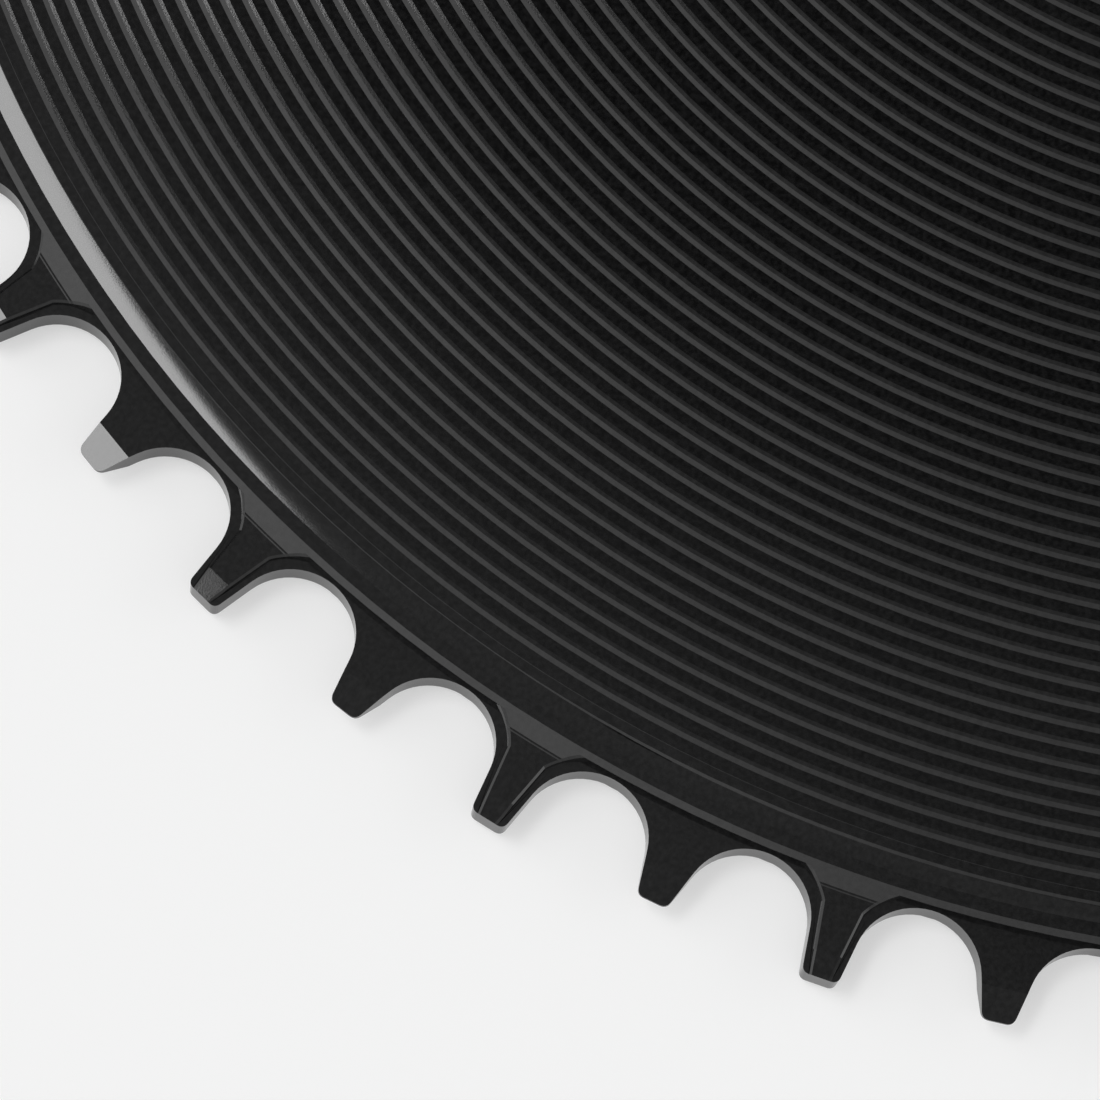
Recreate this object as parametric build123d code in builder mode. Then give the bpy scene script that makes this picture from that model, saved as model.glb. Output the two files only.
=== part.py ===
"""Bicycle chainring: a one-piece ring with narrow and wide teeth in turn and a grooved solid face.

Millimetres. Z is the ring's axis, with the outer face up and z = 0 on the back of the rim.
"""

import os
from math import cos, radians, sin, tan

from build123d import *

# Chain and tooth outline: the wide teeth are a little longer and steeper than the narrow ones
chain_pitch = 12.7
tooth_pairs = 28
gullet_radius = 4.62
wide_flank_angle = 7.5
narrow_flank_angle = 12.7
wide_tip_height = 2.53
narrow_tip_height = 1.9
tip_chamfer = 0.45

# Tooth thickness: a plate as thick as the narrow teeth, with a raised wedge on each wide tooth
narrow_thickness = 2.1
front_wedge_rise = 0.42
back_wedge_rise = 0.6
wedge_tip_width = 1.42
wedge_side_angle = 8.1
wide_bevel_length = 1.85
wide_bevel_angle = 11.3
back_wedge_length = 5.9
back_wedge_width = 3.5
narrow_bevel_length = 2.35
narrow_bevel_angle = 13.0
narrow_back_angle = 30.0

# Milled border round the gullets and beside the wide teeth
gullet_border = 0.12
flank_border = 0.9

# Turned rim: cone, flat band and shoulder, from the root circle inwards
root_land = 0.67
cone_width = 1.3
cone_rise = 0.6
band_width = 1.0
shoulder_width = 1.34
shoulder_rise = 0.29

# Grooved face, which rises towards the hub
face_border = 1.8
groove_pitch = 15.0
groove_depth = 0.28
groove_wall_angle = 35.0
groove_back_width = 0.12
face_rise = 5.0

# Back of the web
back_rim_width = 9.0
back_step_angle = 45.0
web_thickness = 2.8

# Hub pad, bore and bolt circle
hub_pad_radius = 41.0
bore_radius = 22.0
bolt_count = 3
bolt_circle_radius = 30.0
bolt_hole_radius = 2.15

# Sizes that follow
tooth_count = 2 * tooth_pairs
tooth_angle = 360.0 / tooth_count
half_tooth = radians(tooth_angle / 2)
pitch_radius = chain_pitch / 2 / sin(half_tooth)
root_radius = pitch_radius - gullet_radius
wide_tip_radius = pitch_radius + wide_tip_height
narrow_tip_radius = pitch_radius + narrow_tip_height
past_tip = wide_tip_radius + 2 * tip_chamfer
narrow_bottom = back_wedge_rise
narrow_top = narrow_bottom + narrow_thickness
wide_top = narrow_top + front_wedge_rise
pocket_radius = root_radius - gullet_border
wedge_root_radius = root_radius + root_land
wedge_bevel_radius = wide_tip_radius - wide_bevel_length
wedge_slope = tan(radians(wedge_side_angle))
back_wedge_radius = root_radius + back_wedge_length
narrow_bevel_radius = narrow_tip_radius - narrow_bevel_length
band_radius = wedge_root_radius - cone_width
shoulder_radius = band_radius - band_width
face_radius = shoulder_radius - shoulder_width
band_level = wide_top + cone_rise
face_level = band_level + shoulder_rise
groove_radius = face_radius - face_border
groove_field = groove_radius - hub_pad_radius
groove_count = int(groove_field / groove_pitch)
groove_wall = groove_depth / tan(radians(groove_wall_angle))
pad_level = face_level + face_rise
back_rim_radius = wedge_root_radius - back_rim_width
back_level = face_level - web_thickness
back_step_radius = back_rim_radius - back_level / tan(radians(back_step_angle))
pad_back_level = back_level + face_rise
web_bend_radius = (back_step_radius + hub_pad_radius) / 2
past_face = pad_level + wide_top


def dome(radius):
    """Height of the face at a radius: flat at the rim, rising to the pad."""
    share = (groove_radius - radius) / groove_field
    return face_level + face_rise * share * share


def groove_points():
    """Grooves from the rim inwards: the edge, the foot, then the top of the outward wall."""
    points = []
    for index in range(groove_count):
        foot = groove_radius - index * groove_pitch
        top = foot - groove_wall
        points.append((foot + groove_back_width, dome(foot + groove_back_width)))
        points.append((foot, dome(top) - groove_depth))
        points.append((top, dome(top)))
    return points


def blank_points():
    """Half section of the turned blank: over the front from tip to bore, then the back."""
    return [
        (past_tip, wide_top),
        (wedge_root_radius, wide_top),
        (band_radius, band_level),
        (shoulder_radius, band_level),
        (face_radius, face_level),
        *groove_points(),
        (hub_pad_radius, pad_level),
        (bore_radius, pad_level),
        (bore_radius, pad_back_level),
        (hub_pad_radius, pad_back_level),
        (web_bend_radius, dome(web_bend_radius) - web_thickness),
        (back_step_radius, back_level),
        (back_rim_radius, 0),
        (past_tip, 0),
    ]


def flank_line(border, flank_angle):
    """Start of a straight flank on the gullet's arc and its end past the tip, on the +Y side."""
    radius = gullet_radius + border
    lean = radians(flank_angle) + half_tooth
    start_x = pitch_radius - radius * sin(lean)
    start_y = radius * cos(lean)
    return (start_x, start_y), (past_tip, start_y + (past_tip - start_x) * tan(lean))


def mirrored(point):
    """The same point on the gullet's other side."""
    return point[0], -point[1]


# One gullet, with a wide tooth on its -Y side and a narrow one on its +Y side
with BuildSketch() as gullet:
    narrow_start, narrow_end = flank_line(0, narrow_flank_angle)
    wide_start, wide_end = flank_line(0, wide_flank_angle)
    with BuildLine():
        ThreePointArc(mirrored(wide_start), (root_radius, 0), narrow_start)
        Polyline(narrow_start, narrow_end, mirrored(wide_end), mirrored(wide_start))
    make_face()

# The same grown by the border beside the wide teeth
with BuildSketch() as grown_gullet:
    grown_start, grown_end = flank_line(flank_border, wide_flank_angle)
    with BuildLine():
        ThreePointArc(mirrored(grown_start), (root_radius - flank_border, 0), grown_start)
        Polyline(grown_start, grown_end, mirrored(grown_end), mirrored(grown_start))
    make_face()

# Outline of all the teeth, with blunted tip corners
with BuildSketch() as tooth_outline:
    Circle(wide_tip_radius)
    with PolarLocations(0, tooth_pairs, start_angle=tooth_angle / 2):
        add(gullet.sketch, mode=Mode.SUBTRACT)
    with PolarLocations(0, tooth_pairs, start_angle=-tooth_angle / 2):
        add(gullet.sketch.mirror(Plane.XZ), mode=Mode.SUBTRACT)
    with PolarLocations(narrow_tip_radius, tooth_pairs, start_angle=tooth_angle):
        Rectangle(chain_pitch / 2, chain_pitch / 2, align=(Align.MIN, Align.CENTER), mode=Mode.SUBTRACT)
    corners = tooth_outline.vertices().filter_by(
        lambda corner: Vector(corner.X, corner.Y).length > narrow_tip_radius - tip_chamfer
    )
    chamfer(corners, tip_chamfer)

# Raised wedge of a wide tooth: straight sides that flare into the rim at the root
with BuildSketch() as wedge:
    with BuildLine():
        Polyline(
            (0, 0),
            (past_tip / cos(half_tooth), -past_tip * tan(half_tooth)),
            (past_tip / cos(half_tooth), past_tip * tan(half_tooth)),
            close=True,
        )
    make_face()
    for side in (-1, 1):
        with Locations(Location((0, 0, 0), (0, 0, side * tooth_angle / 2))):
            add(grown_gullet.sketch, mode=Mode.SUBTRACT)
    root_half = wedge_tip_width / 2 + (wide_tip_radius - root_radius) * wedge_slope
    outer_half = wedge_tip_width / 2 - (past_tip - wide_tip_radius) * wedge_slope
    with BuildLine():
        Polyline(
            (root_radius, -root_half),
            (past_tip, -outer_half),
            (past_tip, outer_half),
            (root_radius, root_half),
            close=True,
        )
    make_face()

# Floor of the milled border: all outside the pocket circle but the wedges
with BuildSketch() as milled_floor:
    Circle(past_tip)
    Circle(pocket_radius, mode=Mode.SUBTRACT)
    with PolarLocations(0, tooth_pairs):
        add(wedge.sketch, mode=Mode.SUBTRACT)

# The same on the back, where each wide tooth keeps a plain tapered wedge
with BuildSketch() as back_floor:
    Circle(past_tip)
    Circle(pocket_radius, mode=Mode.SUBTRACT)
    with PolarLocations(0, tooth_pairs):
        with BuildLine():
            Polyline(
                (root_radius - gullet_radius, -back_wedge_width / 2),
                (root_radius, -back_wedge_width / 2),
                (back_wedge_radius, -wedge_tip_width / 2),
                (back_wedge_radius, wedge_tip_width / 2),
                (root_radius, back_wedge_width / 2),
                (root_radius - gullet_radius, back_wedge_width / 2),
                close=True,
            )
        make_face(mode=Mode.SUBTRACT)

# What is milled off one wide tooth: a bevel down the wedge's outer end
with BuildPart() as wide_cutter:
    with BuildSketch(Plane.XZ):
        with BuildLine():
            Polyline(
                (wedge_bevel_radius, wide_top),
                (past_tip, wide_top - (past_tip - wedge_bevel_radius) * tan(radians(wide_bevel_angle))),
                (past_tip, past_face),
                (wedge_bevel_radius, past_face),
                close=True,
            )
        make_face()
    extrude(amount=chain_pitch / 2, both=True)

# What is milled off one narrow tooth: a slight bevel in front and a steep one behind
with BuildPart() as narrow_cutter:
    with BuildSketch(Plane.XZ):
        with BuildLine():
            Polyline(
                (narrow_bevel_radius, narrow_top),
                (past_tip, narrow_top - (past_tip - narrow_bevel_radius) * tan(radians(narrow_bevel_angle))),
                (past_tip, past_face),
                (narrow_bevel_radius, past_face),
                close=True,
            )
        make_face()
        with BuildLine():
            Polyline(
                (narrow_bevel_radius, narrow_bottom),
                (past_tip, narrow_bottom + (past_tip - narrow_bevel_radius) * tan(radians(narrow_back_angle))),
                (past_tip, -past_face),
                (narrow_bevel_radius, -past_face),
                close=True,
            )
        make_face()
    extrude(amount=chain_pitch / 2, both=True)

with BuildPart() as chainring:
    # Turned blank
    with BuildSketch(Plane.XZ):
        with BuildLine():
            Polyline(*blank_points(), close=True)
        make_face()
    revolve(axis=Axis.Z)

    # Tooth outline
    with BuildSketch(Plane.XY.offset(-past_face)):
        add(tooth_outline.sketch)
    extrude(amount=3 * past_face, mode=Mode.INTERSECT)

    # Milled borders, front and back
    with BuildSketch(Plane.XY.offset(narrow_top)):
        add(milled_floor.sketch)
    extrude(amount=past_face, mode=Mode.SUBTRACT)
    with BuildSketch(Plane.XY.offset(narrow_bottom)):
        add(back_floor.sketch)
    extrude(amount=-past_face, mode=Mode.SUBTRACT)

    # Wide teeth, then the narrow ones between them
    with PolarLocations(0, tooth_pairs):
        add(wide_cutter.part, mode=Mode.SUBTRACT)
    with PolarLocations(0, tooth_pairs, start_angle=tooth_angle):
        add(narrow_cutter.part, mode=Mode.SUBTRACT)

    # Hub bolt holes
    with BuildSketch(Plane.XY.offset(pad_level)):
        with PolarLocations(bolt_circle_radius, bolt_count):
            Circle(bolt_hole_radius)
    extrude(amount=-past_face, mode=Mode.SUBTRACT)

chainring.part.label = "chainring"
os.makedirs("parts", exist_ok=True)
export_step(chainring.part, "parts/chainring.step")
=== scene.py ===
"""Black anodised bicycle chainring, lying flat, seen close up over its lower left rim."""

from math import acos, atan2, cos, hypot, pi, radians, sin, tan

import bmesh
import bpy
from mathutils import Matrix, Vector


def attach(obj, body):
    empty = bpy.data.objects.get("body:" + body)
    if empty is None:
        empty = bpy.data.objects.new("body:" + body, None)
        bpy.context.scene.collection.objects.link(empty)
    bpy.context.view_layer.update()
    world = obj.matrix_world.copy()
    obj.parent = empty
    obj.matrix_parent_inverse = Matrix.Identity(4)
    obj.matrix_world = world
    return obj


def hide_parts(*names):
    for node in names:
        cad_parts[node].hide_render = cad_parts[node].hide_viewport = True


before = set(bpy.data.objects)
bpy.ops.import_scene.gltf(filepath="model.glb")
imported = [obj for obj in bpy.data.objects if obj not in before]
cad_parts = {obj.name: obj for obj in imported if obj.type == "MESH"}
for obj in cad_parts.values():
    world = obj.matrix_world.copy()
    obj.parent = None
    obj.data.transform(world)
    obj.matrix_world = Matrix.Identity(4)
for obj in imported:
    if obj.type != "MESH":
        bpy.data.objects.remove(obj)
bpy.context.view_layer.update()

# Sizes of the ring are in millimetres, and the scene is in metres
MM = 0.001

# Tooth outline, as in the part
CHAIN_PITCH = 12.7
TOOTH_PAIRS = 28
STEP = pi / TOOTH_PAIRS
GULLET_RADIUS = 4.62
PITCH_RADIUS = CHAIN_PITCH / 2 / sin(STEP / 2)
ROOT_RADIUS = PITCH_RADIUS - GULLET_RADIUS
WIDE_TIP = PITCH_RADIUS + 2.53
NARROW_TIP = PITCH_RADIUS + 1.9
WIDE_FLANK = radians(7.5)
NARROW_FLANK = radians(12.7)

# Levels and radii of teeth and rim, as in the part
NARROW_BOTTOM = 0.6
NARROW_TOP = NARROW_BOTTOM + 2.1
WIDE_TOP = NARROW_TOP + 0.42
BAND_LEVEL = WIDE_TOP + 0.6
FACE_LEVEL = BAND_LEVEL + 0.29
POCKET_RADIUS = ROOT_RADIUS - 0.12
WEDGE_ROOT = ROOT_RADIUS + 0.67
BAND_RADIUS = WEDGE_ROOT - 1.3
SHOULDER_RADIUS = BAND_RADIUS - 1.0
FACE_RADIUS = SHOULDER_RADIUS - 1.34
NARROW_BEVEL = NARROW_TIP - 2.35
NARROW_SLOPE = tan(radians(13.0))
NARROW_BACK_SLOPE = tan(radians(30.0))
BACK_WEDGE = ROOT_RADIUS + 5.9
BACK_WEDGE_TIP = 0.71

# Face, hub and back, as in the part
GROOVE_RADIUS = FACE_RADIUS - 1.8
PAD_RADIUS = 41.0
BORE_RADIUS = 22.0
FACE_RISE = 5.0
WEB = 2.8
PAD_LEVEL = FACE_LEVEL + FACE_RISE
PAD_BACK_LEVEL = PAD_LEVEL - WEB
BACK_LEVEL = FACE_LEVEL - WEB
BACK_RIM = WEDGE_ROOT - 9.0
BACK_STEP = BACK_RIM - BACK_LEVEL
WEB_BEND = (BACK_STEP + PAD_RADIUS) / 2
BOLT_CIRCLE = 30.0
BOLT_RADIUS = 2.15
BOLT_COUNT = 3

# Rounding of the tooth corners and the shoulder, which the part has chamfered and straight
TIP_ROUND = 0.55
SHOULDER_BULGE = 0.2

# Milled walls beside the wide teeth, steep up to a bevelled edge: the part has upright ones
FLANK_BORDER = 0.8
EDGE_LEAN = 0.05
WALL_LEAN = 0.22
EDGE_DROP = 0.15

# Milled walls at the foot of the narrow teeth, cut under so that they don't show
POCKET_LEAN = 0.02
POCKET_UNDERCUT = 0.185
EDGE_SHARE = 0.2

# Wedge on each wide tooth: a small step at its root, leaning sides and a bevel to a thin tip
ROOT_STEP = 0.045
ROOT_FLAT = 0.13
ROOT_RAMP = 0.09
WEDGE_SLOPE = 0.142
WEDGE_HALF_TIP = 0.61
WEDGE_BEVEL = WIDE_TIP - 1.8
LEAST_RISE = 0.01
WEDGE_TIP_TOP = NARROW_TOP + LEAST_RISE

# All the grooves, where the part has every tenth one: nearer the hub, walls are steeper and get a low back
GROOVE_PITCH = 1.5
GROOVE_COUNT = 44
GROOVE_WALL = 0.33
GROOVE_LEAN = radians(28.0)
GROOVE_LEAN_INSIDE = radians(32.0)
GROOVE_BACK_WIDTH = 0.01
GROOVE_BACK_INSIDE = 0.08
GROOVE_CHANGE_FIRST = 10
GROOVE_CHANGE_COUNT = 16
CROWN_WIDTH = 0.28
CROWN_SLOPE = tan(radians(8.0))
PAD_EDGE = GROOVE_RADIUS - (GROOVE_COUNT - 1) * GROOVE_PITCH - GROOVE_WALL - CROWN_WIDTH

# Two turned lines outside the grooves: the outer one runs off centre, so it is wide on one side only
LINE_SLOPE = tan(radians(32.0))
LINE_WIDTH = 0.05
LINE_RISE = LINE_WIDTH * LINE_SLOPE
LINE_FOOT = 0.16
LINE_EDGE = 0.01
LINE_DIP = 0.07
LINE_SIDE = radians(75.0)
LINE_START = radians(66.0)
LINE_FULL = radians(56.0)
FINE_LINE_RADIUS = GROOVE_RADIUS + 1.02
FINE_LINE_WIDTH = 0.025

# Steps of the mesh
POCKET_STEPS = 3
ARC_STEPS = 2
SIDE_STEPS = 4
GULLET_STEPS = 12
TIP_STEPS = 6
SHOULDER_STEPS = 6
HOLE_STEPS = 32
SEARCH_STEPS = 40
SEARCH_RANGE = (0.2, 1.3)

# In metres, the gap that is closed where pieces of the mesh meet, and the angle from which an edge is sharp
MERGE_DISTANCE = 2e-6
SHARP_ANGLE = radians(8.8)


def dome(radius):
    """Height of the face at a radius."""
    share = min(1.0, (GROOVE_RADIUS - radius) / (GROOVE_RADIUS - PAD_RADIUS))
    return FACE_LEVEL + FACE_RISE * share * share


def cone(radius):
    """Height of the turned cone outside the band."""
    fall = BAND_LEVEL - WIDE_TOP - ROOT_STEP
    return BAND_LEVEL + (BAND_RADIUS - radius) / (WEDGE_ROOT - BAND_RADIUS) * fall


def wedge_top(x):
    """Height of a wide tooth's wedge along its axis."""
    share = max(0.0, x - WEDGE_BEVEL) / (WIDE_TIP - WEDGE_BEVEL)
    return WIDE_TOP + share * (WEDGE_TIP_TOP - WIDE_TOP)


def turned(x, y, angle):
    """A point turned about the ring's axis."""
    return x * cos(angle) - y * sin(angle), x * sin(angle) + y * cos(angle)


def spread(first, last, count):
    """Evenly spaced values, both ends included."""
    return [first + (last - first) * i / count for i in range(count + 1)]


def on_circle(radius, angles):
    """Points on a circle about the ring's axis."""
    return [(radius * cos(a), radius * sin(a)) for a in angles]


def at_level(points, level):
    """Flat points put at a height."""
    return [(x, y, level) for x, y in points]


def gullet_point(grow, psi, side):
    """A point on the gullet's arc, grown, at an angle from its bottom; side -1 is the wide tooth's."""
    radius = GULLET_RADIUS + grow
    return turned(PITCH_RADIUS - radius * cos(psi), side * radius * sin(psi), STEP / 2)


def tangent_angle(side):
    """Angle from the gullet's bottom at which a tooth's straight flank begins."""
    flank = WIDE_FLANK if side < 0 else NARROW_FLANK
    return pi / 2 - flank - STEP / 2


def flank_point(x, side):
    """A point on a tooth's straight flank, at a distance x along the tooth's own axis."""
    flank = WIDE_FLANK if side < 0 else NARROW_FLANK
    axis = 0.0 if side < 0 else STEP
    near = gullet_point(0, tangent_angle(side), side)
    local = turned(near[0], near[1], -axis)
    inward = 1.0 if local[1] < 0 else -1.0
    y = local[1] + inward * (x - local[0]) * tan(flank)
    return turned(x, y, axis)


def arc_crossing(grow, radius):
    """Angle from a grown gullet's bottom at which it crosses a circle about the ring's axis."""
    grown = GULLET_RADIUS + grow
    x = (radius * radius - grown * grown + PITCH_RADIUS * PITCH_RADIUS) / (2 * PITCH_RADIUS)
    return acos((PITCH_RADIUS - x) / grown)


def wedge_half(x, lean):
    """Half width of a wide tooth's wedge, at its top, or lower down its leaning wall."""
    return WEDGE_HALF_TIP + (WIDE_TIP - x) * WEDGE_SLOPE + WALL_LEAN - lean


def arc_to_line(grow, lean):
    """Angle from a grown gullet's bottom at which it meets the wedge's straight side, found by halving."""
    low, high = SEARCH_RANGE
    for _ in range(SEARCH_STEPS):
        middle = (low + high) / 2
        x, y = gullet_point(grow, middle, -1)
        if y > wedge_half(x, lean):
            low = middle
        else:
            high = middle
    return low


def border_curve(lean, pocket_lean):
    """Edge of the milled floor from the narrow tooth's axis to the wide tooth's tip."""
    grow = FLANK_BORDER + lean
    pocket = POCKET_RADIUS - pocket_lean
    corner = arc_crossing(grow, pocket)
    root = arc_crossing(grow, WEDGE_ROOT)
    flat = arc_crossing(grow, WEDGE_ROOT + ROOT_FLAT)
    ramp = arc_crossing(grow, WEDGE_ROOT + ROOT_FLAT + ROOT_RAMP)
    last = arc_to_line(grow, lean)
    corner_point = gullet_point(grow, corner, -1)
    corner_angle = atan2(corner_point[1], corner_point[0])
    points = on_circle(pocket, spread(STEP, corner_angle, POCKET_STEPS))
    points += [gullet_point(grow, a, -1) for a in spread(corner, root, ARC_STEPS)[1:]]
    points += [gullet_point(grow, a, -1) for a in [flat] + spread(ramp, last, SIDE_STEPS)]
    points += [(x, wedge_half(x, lean)) for x in (WEDGE_BEVEL, WIDE_TIP)]
    return points


def rounded(corner, before, after):
    """Points that round a corner of the outline."""
    corner = Vector(corner)
    start = corner + (Vector(before) - corner).normalized() * TIP_ROUND
    end = corner + (Vector(after) - corner).normalized() * TIP_ROUND
    points = []
    for t in spread(0.0, 1.0, TIP_STEPS):
        point = start * (1 - t) * (1 - t) + corner * 2 * t * (1 - t) + end * t * t
        points.append((point.x, point.y))
    return points


def outline_curve():
    """Tooth outline from the wide tooth's tip round the gullet to the narrow tooth's tip."""
    wide_corner = flank_point(WIDE_TIP, -1)
    narrow_corner = flank_point(NARROW_TIP, 1)
    narrow_tip = turned(NARROW_TIP, 0, STEP)
    points = rounded(wide_corner, (WIDE_TIP, 0.0), flank_point(BACK_WEDGE, -1))
    points.append(flank_point(BACK_WEDGE, -1))
    points += [gullet_point(0, a, -1) for a in spread(tangent_angle(-1), 0, GULLET_STEPS)]
    points += [gullet_point(0, a, 1) for a in spread(0, tangent_angle(1), GULLET_STEPS)[1:]]
    points.append(flank_point(NARROW_BEVEL, 1))
    points += rounded(narrow_corner, flank_point(NARROW_BEVEL, 1), narrow_tip)
    points.append(narrow_tip)
    return points


def past_bevel(point):
    """Distance of a point past the start of the narrow tooth's bevels, along the tooth's axis."""
    return turned(point[0], point[1], -STEP)[0] - NARROW_BEVEL


class Half:
    """Faces of half a wide tooth, a gullet and half a narrow tooth, to be mirrored and repeated."""

    def __init__(self):
        self.faces = []

    def add(self, *points):
        """One face."""
        self.faces.append([Vector(p) * MM for p in points])

    def wall(self, upper, lower):
        """Quads between two lines of points."""
        for i in range(len(upper) - 1):
            self.add(upper[i], lower[i], lower[i + 1], upper[i + 1])


def tooth_half():
    """Front, outline and back of the half, outside the band, and the angles of its steps at the band."""
    half = Half()
    floor = border_curve(0.0, POCKET_UNDERCUT)
    middle = border_curve(EDGE_LEAN, POCKET_LEAN + EDGE_SHARE * (POCKET_UNDERCUT - POCKET_LEAN))
    top = border_curve(WALL_LEAN, POCKET_LEAN)
    outline = outline_curve()
    split = POCKET_STEPS + ARC_STEPS
    tip_floor = floor[-1]
    tip_top = top[-1]

    # Cone between the band and the milled pocket or the wedge's root
    edge = top[: split + 1] + [(WEDGE_ROOT, 0.0)]
    outer = [(x, y, cone(hypot(x, y))) for x, y in edge]
    angles = [atan2(y, x) for x, y in edge]
    half.wall(at_level(on_circle(BAND_RADIUS, angles), BAND_LEVEL), outer)

    # Wedge of the wide tooth, with the small step at its root, whose first three lines are turned
    side = top[split:]
    root_lines = 2
    turned_lines = root_lines + 1
    levels = [WIDE_TOP + ROOT_STEP] * root_lines + [wedge_top(x) for x, y in side[root_lines:]]
    rim = [(x, y, z) for (x, y), z in zip(side, levels)]
    axis = [(hypot(x, y) if i < turned_lines else x, 0.0, z) for i, (x, y, z) in enumerate(rim)]
    half.wall(axis, rim)

    # Leaning walls round the milled floor
    ridge = [(x, y, cone(hypot(x, y))) for x, y in top[:split]] + rim
    heights = [max(NARROW_TOP + LEAST_RISE, z - EDGE_DROP) for x, y, z in ridge]
    ledge = [(x, y, z) for (x, y), z in zip(middle, heights)]
    half.wall(ridge, ledge)
    half.wall(ledge, at_level(floor, NARROW_TOP))

    # Milled floor and the face of the narrow tooth
    flank_end = outline.index(flank_point(NARROW_BEVEL, 1))
    axis_point = turned(NARROW_BEVEL, 0, STEP)
    loop = [tip_floor] + outline[: flank_end + 1] + [axis_point] + floor[:-1]
    half.add(*at_level(loop, NARROW_TOP))

    # Bevel of the narrow tooth
    bevel = outline[flank_end:] + [axis_point]
    half.add(*[(x, y, NARROW_TOP - past_bevel((x, y)) * NARROW_SLOPE) for x, y in bevel])

    # Walls along the outline, between the bevels at the narrow tooth
    high = []
    low = []
    for i, (x, y) in enumerate(outline):
        past = max(0.0, past_bevel((x, y))) if i >= flank_end else 0.0
        high.append((x, y, NARROW_TOP - past * NARROW_SLOPE))
        low.append((x, y, NARROW_BOTTOM + past * NARROW_BACK_SLOPE))
    half.wall(high, low)

    # End of the wide tooth
    half.add(
        (WIDE_TIP, 0, WEDGE_TIP_TOP),
        (WIDE_TIP, 0, NARROW_BOTTOM),
        low[0],
        high[0],
        (tip_floor[0], tip_floor[1], NARROW_TOP),
        ledge[-1],
        (tip_top[0], tip_top[1], WEDGE_TIP_TOP),
    )

    # Back: bevel of the narrow tooth, floor, then the walls and the flat of the rim's step and the wedge
    half.add(*[(x, y, NARROW_BOTTOM + past_bevel((x, y)) * NARROW_BACK_SLOPE) for x, y in bevel[::-1]])
    back_edge = on_circle(POCKET_RADIUS, angles)
    step = back_edge[: split + 1]
    wedge_end = [(BACK_WEDGE, BACK_WEDGE_TIP), (BACK_WEDGE, 0.0)]
    wedge = [back_edge[split]] + wedge_end
    loop = [(WIDE_TIP, 0.0)] + outline[: flank_end + 1] + [axis_point] + step + wedge_end
    half.add(*at_level(loop[::-1], NARROW_BOTTOM))
    half.wall(at_level(step, NARROW_BOTTOM), at_level(step, 0.0))
    half.wall(at_level(wedge, NARROW_BOTTOM), at_level(wedge, 0.0))
    half.add(*at_level(back_edge[split:] + wedge_end[::-1], 0.0))
    return half.faces, angles


def line_share(angle):
    """How much of its full width the outer turned line has at an angle round the ring."""
    share = (cos(angle - LINE_SIDE) - cos(LINE_START)) / (cos(LINE_FULL) - cos(LINE_START))
    return min(1.0, max(0.0, share))


def face_profile(line):
    """Half section inside the band, over the front to the bore and out along the back."""
    points = [(BAND_RADIUS, BAND_LEVEL)]
    rise = FACE_LEVEL - BAND_LEVEL
    for t in spread(0, 1, SHOULDER_STEPS):
        radius = SHOULDER_RADIUS + (FACE_RADIUS - SHOULDER_RADIUS) * t
        points.append((radius, BAND_LEVEL + rise * t * (1 + SHOULDER_BULGE - SHOULDER_BULGE * t)))

    # Turned lines
    level = FACE_LEVEL + LINE_RISE
    points[-1] = (FACE_RADIUS + LINE_FOOT * line, FACE_LEVEL - LINE_DIP * line)
    points.append((FACE_RADIUS - LINE_WIDTH - LINE_EDGE * line, level))
    points.append((FINE_LINE_RADIUS, level))
    points.append((FINE_LINE_RADIUS - FINE_LINE_WIDTH, level + FINE_LINE_WIDTH * LINE_SLOPE))

    # Grooves: a low back nearer the hub, the foot, the wall's edge and the crown that the land begins with
    for index in range(GROOVE_COUNT):
        foot = GROOVE_RADIUS - index * GROOVE_PITCH
        edge = foot - GROOVE_WALL
        level = dome(edge) - CROWN_WIDTH * CROWN_SLOPE
        share = min(1.0, max(0.0, (index - GROOVE_CHANGE_FIRST) / GROOVE_CHANGE_COUNT))
        lean = GROOVE_LEAN + share * (GROOVE_LEAN_INSIDE - GROOVE_LEAN)
        bottom = level - GROOVE_WALL * tan(lean)
        if share > 0:
            points.append((foot + GROOVE_BACK_WIDTH, bottom + share * GROOVE_BACK_INSIDE))
        points.append((foot, bottom))
        points.append((edge, level))
        points.append((edge - CROWN_WIDTH, dome(edge - CROWN_WIDTH)))
    points[-1] = (PAD_EDGE, PAD_LEVEL)

    # Hub and back
    points += [(BORE_RADIUS, PAD_LEVEL), (BORE_RADIUS, PAD_BACK_LEVEL)]
    points += [(PAD_RADIUS, PAD_BACK_LEVEL), (WEB_BEND, dome(WEB_BEND) - WEB)]
    points += [(BACK_STEP, BACK_LEVEL), (BACK_RIM, 0.0), (POCKET_RADIUS, 0.0)]
    return points


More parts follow.
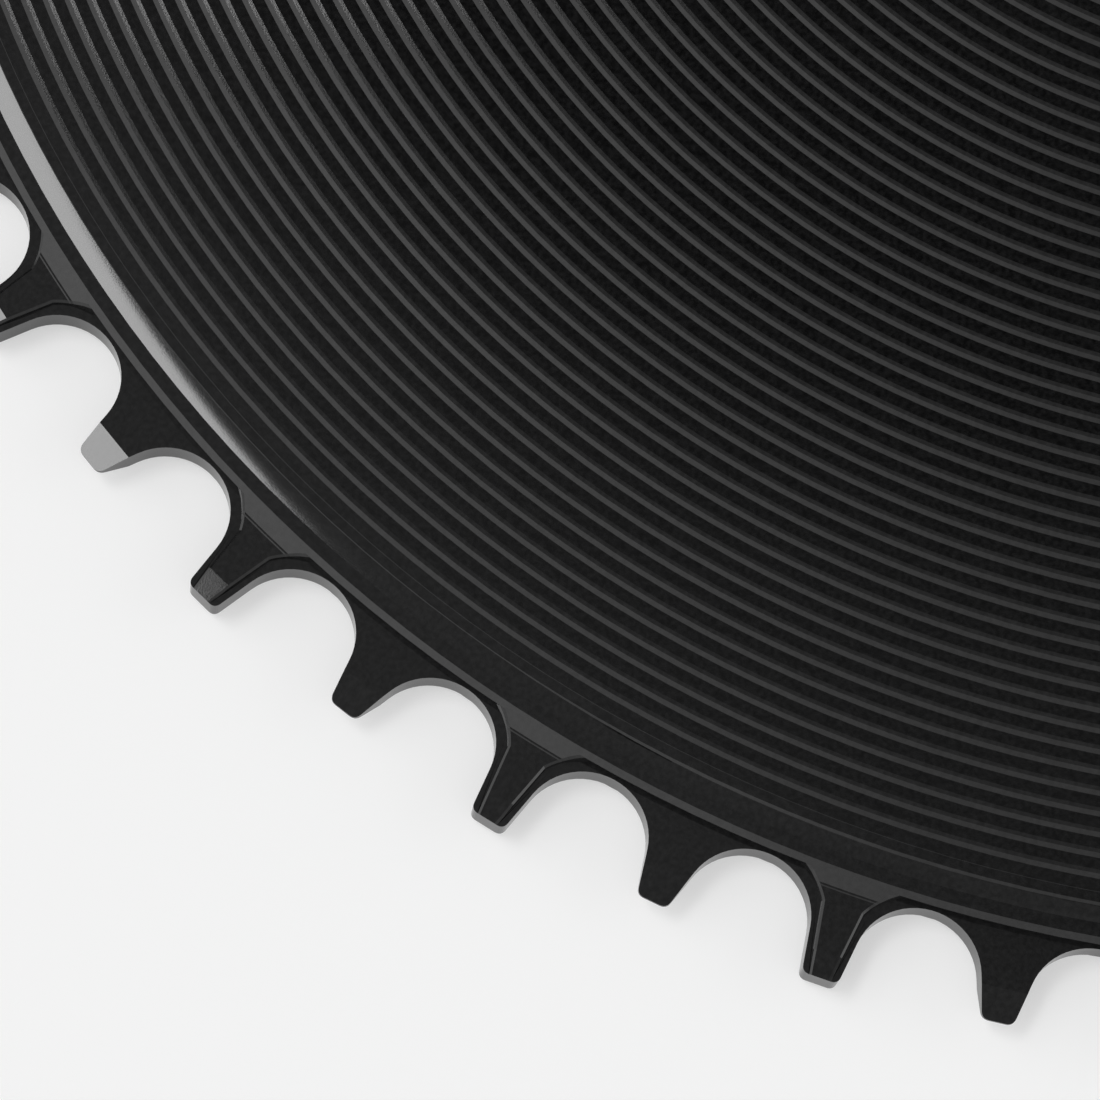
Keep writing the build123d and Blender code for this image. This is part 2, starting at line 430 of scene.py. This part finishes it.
def bolt_pad(bm, outer, inner, around, level):
    """Flat hub pad between two rings of vertices, with the bolt holes left open; returns their edges."""
    holes = []
    count = len(around)
    half = HOLE_STEPS // 2

    def nearest(angle):
        return min(range(count), key=lambda i: abs((around[i] - angle + pi) % (2 * pi) - pi))

    def run(first, last):
        return [(first + i) % count for i in range((last - first) % count + 1)]

    for k in range(BOLT_COUNT):
        angle = 2 * pi * k / BOLT_COUNT
        hole = []
        for step in range(HOLE_STEPS):
            turn = angle + 2 * pi * step / HOLE_STEPS
            x = BOLT_CIRCLE * cos(angle) + BOLT_RADIUS * cos(turn)
            y = BOLT_CIRCLE * sin(angle) + BOLT_RADIUS * sin(turn)
            hole.append(bm.verts.new((x * MM, y * MM, level * MM)))
        middle = nearest(angle)
        ahead = run(middle, nearest(angle + pi / BOLT_COUNT))
        near_side = hole[half::-1]
        bm.faces.new([outer[i] for i in ahead] + [inner[i] for i in reversed(ahead)] + near_side)
        behind = run(nearest(angle - pi / BOLT_COUNT), middle)
        far_side = hole[:1] + hole[: half - 1 : -1]
        bm.faces.new([outer[i] for i in behind] + far_side + [inner[i] for i in reversed(behind)])
        holes.append(hole)
    return holes


def add_teeth(bm, faces):
    """The half and its mirror image, repeated round the ring."""
    flip = Matrix.Diagonal((1, -1, 1, 1))
    for k in range(TOOTH_PAIRS):
        turn = Matrix.Rotation(2 * STEP * k, 4, "Z")
        for points in faces:
            bm.faces.new([bm.verts.new(turn @ p) for p in points])
            bm.faces.new([bm.verts.new(turn @ flip @ p) for p in reversed(points)])


def add_web(bm, angles):
    """All that is turned inside the teeth, with the teeth's own steps round the ring, and the hub's holes."""
    around = []
    for k in range(TOOTH_PAIRS):
        base = 2 * STEP * k
        around += [base - a for a in angles[:-1]]
        around += [base + a for a in reversed(angles[1:])]
    rings = []
    for a in around:
        section = face_profile(line_share(a))
        rings.append([bm.verts.new((r * cos(a) * MM, r * sin(a) * MM, z * MM)) for r, z in section])

    # Quads between the rings, but for the hub's pad, front and back
    profile = face_profile(0)
    pad = profile.index((PAD_EDGE, PAD_LEVEL))
    pad_back = pad + 2
    for this, following in zip(rings, rings[1:] + rings[:1]):
        for j in range(len(profile) - 1):
            if j not in (pad, pad_back):
                bm.faces.new((this[j], this[j + 1], following[j + 1], following[j]))
    front = bolt_pad(bm, [r[pad] for r in rings], [r[pad + 1] for r in rings], around, PAD_LEVEL)
    back_inner = [r[pad_back] for r in rings]
    back = bolt_pad(bm, [r[pad_back + 1] for r in rings], back_inner, around, PAD_BACK_LEVEL)
    for near, far in zip(front, back):
        for i in range(HOLE_STEPS):
            bm.faces.new((near[i - 1], near[i], far[i], far[i - 1]))


def chainring_mesh():
    """The whole ring as one closed mesh with sharp edges marked."""
    bm = bmesh.new()
    faces, angles = tooth_half()
    add_teeth(bm, faces)
    add_web(bm, angles)
    bmesh.ops.remove_doubles(bm, verts=bm.verts, dist=MERGE_DISTANCE)
    bmesh.ops.recalc_face_normals(bm, faces=bm.faces)
    for face in bm.faces:
        face.smooth = True
    for edge in bm.edges:
        edge.smooth = edge.calc_face_angle(pi) <= SHARP_ANGLE
    mesh = bpy.data.meshes.new("chainring_fine")
    bm.to_mesh(mesh)
    bm.free()
    return mesh


# Surface: a fine grain in roughness and relief, and coarser specks between two blacks
GRAIN_SCALE = 8000
GRAIN_DETAIL = 3
GRAIN_SMOOTHEST = 0.08
GRAIN_ROUGHEST = 0.12
GRAIN_STRENGTH = 0.09
GRAIN_DEPTH = 0.00002
SPECK_SCALE = 2600
SPECK_DETAIL = 4
SPECK_LOW = 0.35
SPECK_HIGH = 0.75
DEEP_BLACK = (0.004, 0.004, 0.0041, 1)
SOFT_BLACK = (0.012, 0.012, 0.0122, 1)


def add_node(tree, kind, settings):
    """A new shader node with some of its inputs set, by name or number."""
    node = tree.nodes.new(kind)
    for name, value in settings.items():
        node.inputs[name].default_value = value
    return node


def anodised():
    """Black anodised, finely blasted aluminium."""
    material = bpy.data.materials.new("black anodised")
    material.use_nodes = True
    tree = material.node_tree
    links = tree.links
    shader = tree.nodes["Principled BSDF"]
    place = tree.nodes.new("ShaderNodeTexCoord").outputs["Object"]

    grain = add_node(tree, "ShaderNodeTexNoise", {"Scale": GRAIN_SCALE, "Detail": GRAIN_DETAIL})
    rough = add_node(tree, "ShaderNodeMapRange", {"To Min": GRAIN_SMOOTHEST, "To Max": GRAIN_ROUGHEST})
    bump = add_node(tree, "ShaderNodeBump", {"Strength": GRAIN_STRENGTH, "Distance": GRAIN_DEPTH})
    links.new(place, grain.inputs["Vector"])
    links.new(grain.outputs["Fac"], rough.inputs["Value"])
    links.new(rough.outputs["Result"], shader.inputs["Roughness"])
    links.new(grain.outputs["Fac"], bump.inputs["Height"])
    links.new(bump.outputs["Normal"], shader.inputs["Normal"])

    specks = add_node(tree, "ShaderNodeTexNoise", {"Scale": SPECK_SCALE, "Detail": SPECK_DETAIL})
    contrast = add_node(tree, "ShaderNodeMapRange", {"From Min": SPECK_LOW, "From Max": SPECK_HIGH})
    tone = tree.nodes.new("ShaderNodeMix")
    tone.data_type = "RGBA"
    tone.inputs["A"].default_value = DEEP_BLACK
    tone.inputs["B"].default_value = SOFT_BLACK
    links.new(place, specks.inputs["Vector"])
    links.new(specks.outputs["Fac"], contrast.inputs["Value"])
    links.new(contrast.outputs["Result"], tone.inputs["Factor"])
    links.new(tone.outputs["Result"], shader.inputs["Base Color"])
    return material


ring = bpy.data.objects.new("chainring_fine", chainring_mesh())
bpy.context.collection.objects.link(ring)
ring.data.materials.append(anodised())
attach(ring, "root")
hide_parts("chainring")

# Camera, from the fit of gullets and grooves in the photograph: the ring's axis, a point of it, and the turn
# of a gullet, one and a half steps from a wide tooth, in the camera's own axes (right, down and ahead)
FOCAL_PX = 5033.0
PICTURE_PX = 1100.0
SHIFT_PX = 4.0
SENSOR = 36.0
NEAREST = 0.01
AXIS = Vector((0.08508532, -0.28869191, -0.95363382))
FITTED_POINT = Vector((56.188, -74.276, 387.759))
FITTED_LEVEL = NARROW_TOP + 0.924
FITTED_GULLET = radians(-143.993)
CENTRE = FITTED_POINT - FITTED_LEVEL * AXIS
WIDE_TOOTH = FITTED_GULLET + 1.5 * STEP
flat_x = (Vector((1, 0, 0)) - AXIS * AXIS.x).normalized()
flat_y = AXIS.cross(flat_x)
ring_x = flat_x * cos(WIDE_TOOTH) + flat_y * sin(WIDE_TOOTH)
ring_y = AXIS.cross(ring_x)

# The camera's directions and place in the ring's frame
right, down, ahead = (Vector((ring_x[i], ring_y[i], AXIS[i])) for i in range(3))
pose = Matrix((right, -down, -ahead)).transposed().to_4x4()
pose.translation = Vector((-ring_x.dot(CENTRE), -ring_y.dot(CENTRE), -AXIS.dot(CENTRE))) * MM
camera_data = bpy.data.cameras.new("camera")
camera_data.sensor_width = SENSOR
camera_data.lens = SENSOR * FOCAL_PX / PICTURE_PX
camera_data.shift_x = SHIFT_PX / PICTURE_PX
camera_data.clip_start = NEAREST
camera = bpy.data.objects.new("camera", camera_data)
camera.matrix_world = pose
bpy.context.collection.objects.link(camera)
bpy.context.scene.camera = camera

# Pale floor, a little brighter to the camera and in mirror images than its own shade
FLOOR_REACH = 3
FLOOR_DROP = 0.0002
FLOOR_GREY = (0.5, 0.5, 0.5, 1)
FLOOR_ROUGHNESS = 0.9
CAMERA_LIFT = 0.46
GLOSSY_LIFT = 0.42
WHITE = (1, 1, 1, 1)


def pale_floor():
    """Pale material of the floor."""
    material = bpy.data.materials.new("pale floor")
    material.use_nodes = True
    tree = material.node_tree
    cloth = tree.nodes["Principled BSDF"]
    cloth.inputs["Base Color"].default_value = FLOOR_GREY
    cloth.inputs["Roughness"].default_value = FLOOR_ROUGHNESS
    cloth.inputs["Emission Color"].default_value = WHITE
    seen = tree.nodes.new("ShaderNodeLightPath")
    to_camera = add_node(tree, "ShaderNodeMath", {1: CAMERA_LIFT})
    to_camera.operation = "MULTIPLY"
    to_gloss = add_node(tree, "ShaderNodeMath", {1: GLOSSY_LIFT})
    to_gloss.operation = "MULTIPLY_ADD"
    tree.links.new(seen.outputs["Is Camera Ray"], to_camera.inputs[0])
    tree.links.new(seen.outputs["Is Glossy Ray"], to_gloss.inputs[0])
    tree.links.new(to_camera.outputs["Value"], to_gloss.inputs[2])
    tree.links.new(to_gloss.outputs["Value"], cloth.inputs["Emission Strength"])
    return material


corners = [(x * FLOOR_REACH, y * FLOOR_REACH, 0) for x, y in ((-1, -1), (1, -1), (1, 1), (-1, 1))]
floor_mesh = bpy.data.meshes.new("floor")
floor_mesh.from_pydata(corners, [], [(0, 1, 2, 3)])
floor_mesh.materials.append(pale_floor())
floor = bpy.data.objects.new("floor", floor_mesh)
floor.location.z = -FLOOR_DROP
bpy.context.collection.objects.link(floor)

# Directions of the picture in the ring's plane, along its right and up, and the ring's axis
plane_right = Vector((cos(WIDE_TOOTH), -sin(WIDE_TOOTH), 0))
plane_up = Vector((sin(WIDE_TOOTH), cos(WIDE_TOOTH), 0))
ring_axis = Vector((0, 0, 1))


def add_lamp(name, toward, distance, width, height, watts):
    """A soft area light, seen from the tooth on +X along the picture's right, its up and the ring's axis."""
    aim = (plane_right * toward[0] + plane_up * toward[1] + ring_axis * toward[2]).normalized()
    side = aim.cross(plane_up).normalized() * -1
    data = bpy.data.lights.new(name, "AREA")
    data.shape = "RECTANGLE"
    data.size = width
    data.size_y = height
    data.energy = watts
    light = bpy.data.objects.new(name, data)
    light.matrix_world = Matrix((side, aim.cross(side), aim)).transposed().to_4x4()
    light.location = Vector((PITCH_RADIUS * MM, 0, 0)) + aim * distance
    bpy.context.collection.objects.link(light)


add_lamp("left", toward=(-0.4, 0.15, 0.904), distance=1.5, width=0.326, height=0.61, watts=5.55)

# Surroundings: a pale lower left side, dim overhead and on the far side, bright low at the right, else black
world = bpy.data.worlds.new("studio")
bpy.context.scene.world = world
world.use_nodes = True
sky = world.node_tree
way = sky.nodes.new("ShaderNodeTexCoord").outputs["Generated"]


def along(direction):
    """How far a direction of the surroundings points along another."""
    node = add_node(sky, "ShaderNodeVectorMath", {1: direction})
    node.operation = "DOT_PRODUCT"
    sky.links.new(way, node.inputs[0])
    return node.outputs["Value"]


def ramp(value, low, high, bottom=0.0, top=1.0):
    """A value brought from one range to another, held at the ends."""
    settings = {"From Min": low, "From Max": high, "To Min": bottom, "To Max": top}
    node = add_node(sky, "ShaderNodeMapRange", settings)
    sky.links.new(value, node.inputs["Value"])
    return node.outputs["Result"]


def joined(operation, first, *others):
    """Values multiplied or added together."""
    for other in others:
        node = sky.nodes.new("ShaderNodeMath")
        node.operation = operation
        sky.links.new(first, node.inputs[0])
        sky.links.new(other, node.inputs[1])
        first = node.outputs["Value"]
    return first


# How far a direction leans to what flat faces mirror, to the right, to the lower left and to the upper right
lean_way = along(plane_up * 0.3 + ring_axis * 0.954)
right_way = along(plane_right)
lower_left = along(plane_right * -0.62 - plane_up * 0.79)
upper_right = along(plane_right + plane_up * 0.8)
low_side = joined(
    "MULTIPLY",
    ramp(lower_left, low=-0.3, high=0.0),
    ramp(right_way, low=-0.7, high=-0.1, bottom=1.22, top=0.69),
    ramp(lean_way, low=0.61, high=0.67, bottom=1.0, top=1.5),
    ramp(lean_way, low=0.86, high=0.75),
)
overhead = joined(
    "MULTIPLY",
    ramp(lean_way, low=0.8, high=0.88, bottom=0.0, top=0.3),
    ramp(upper_right, low=0.42, high=0.3),
)
far_side = joined(
    "MULTIPLY",
    ramp(along(ring_axis), low=0.87, high=0.72, bottom=0.0, top=0.32),
    ramp(along(plane_up), low=0.3, high=0.45),
    ramp(right_way, low=0.28, high=0.35, bottom=0.4, top=1.0),
)
right_side = ramp(right_way, low=0.75, high=0.88, bottom=0.0, top=1.7)
background = sky.nodes["Background"]
background.inputs["Color"].default_value = WHITE
sky.links.new(joined("ADD", low_side, overhead, far_side, right_side), background.inputs["Strength"])
bpy.context.scene.view_settings.view_transform = "Standard"
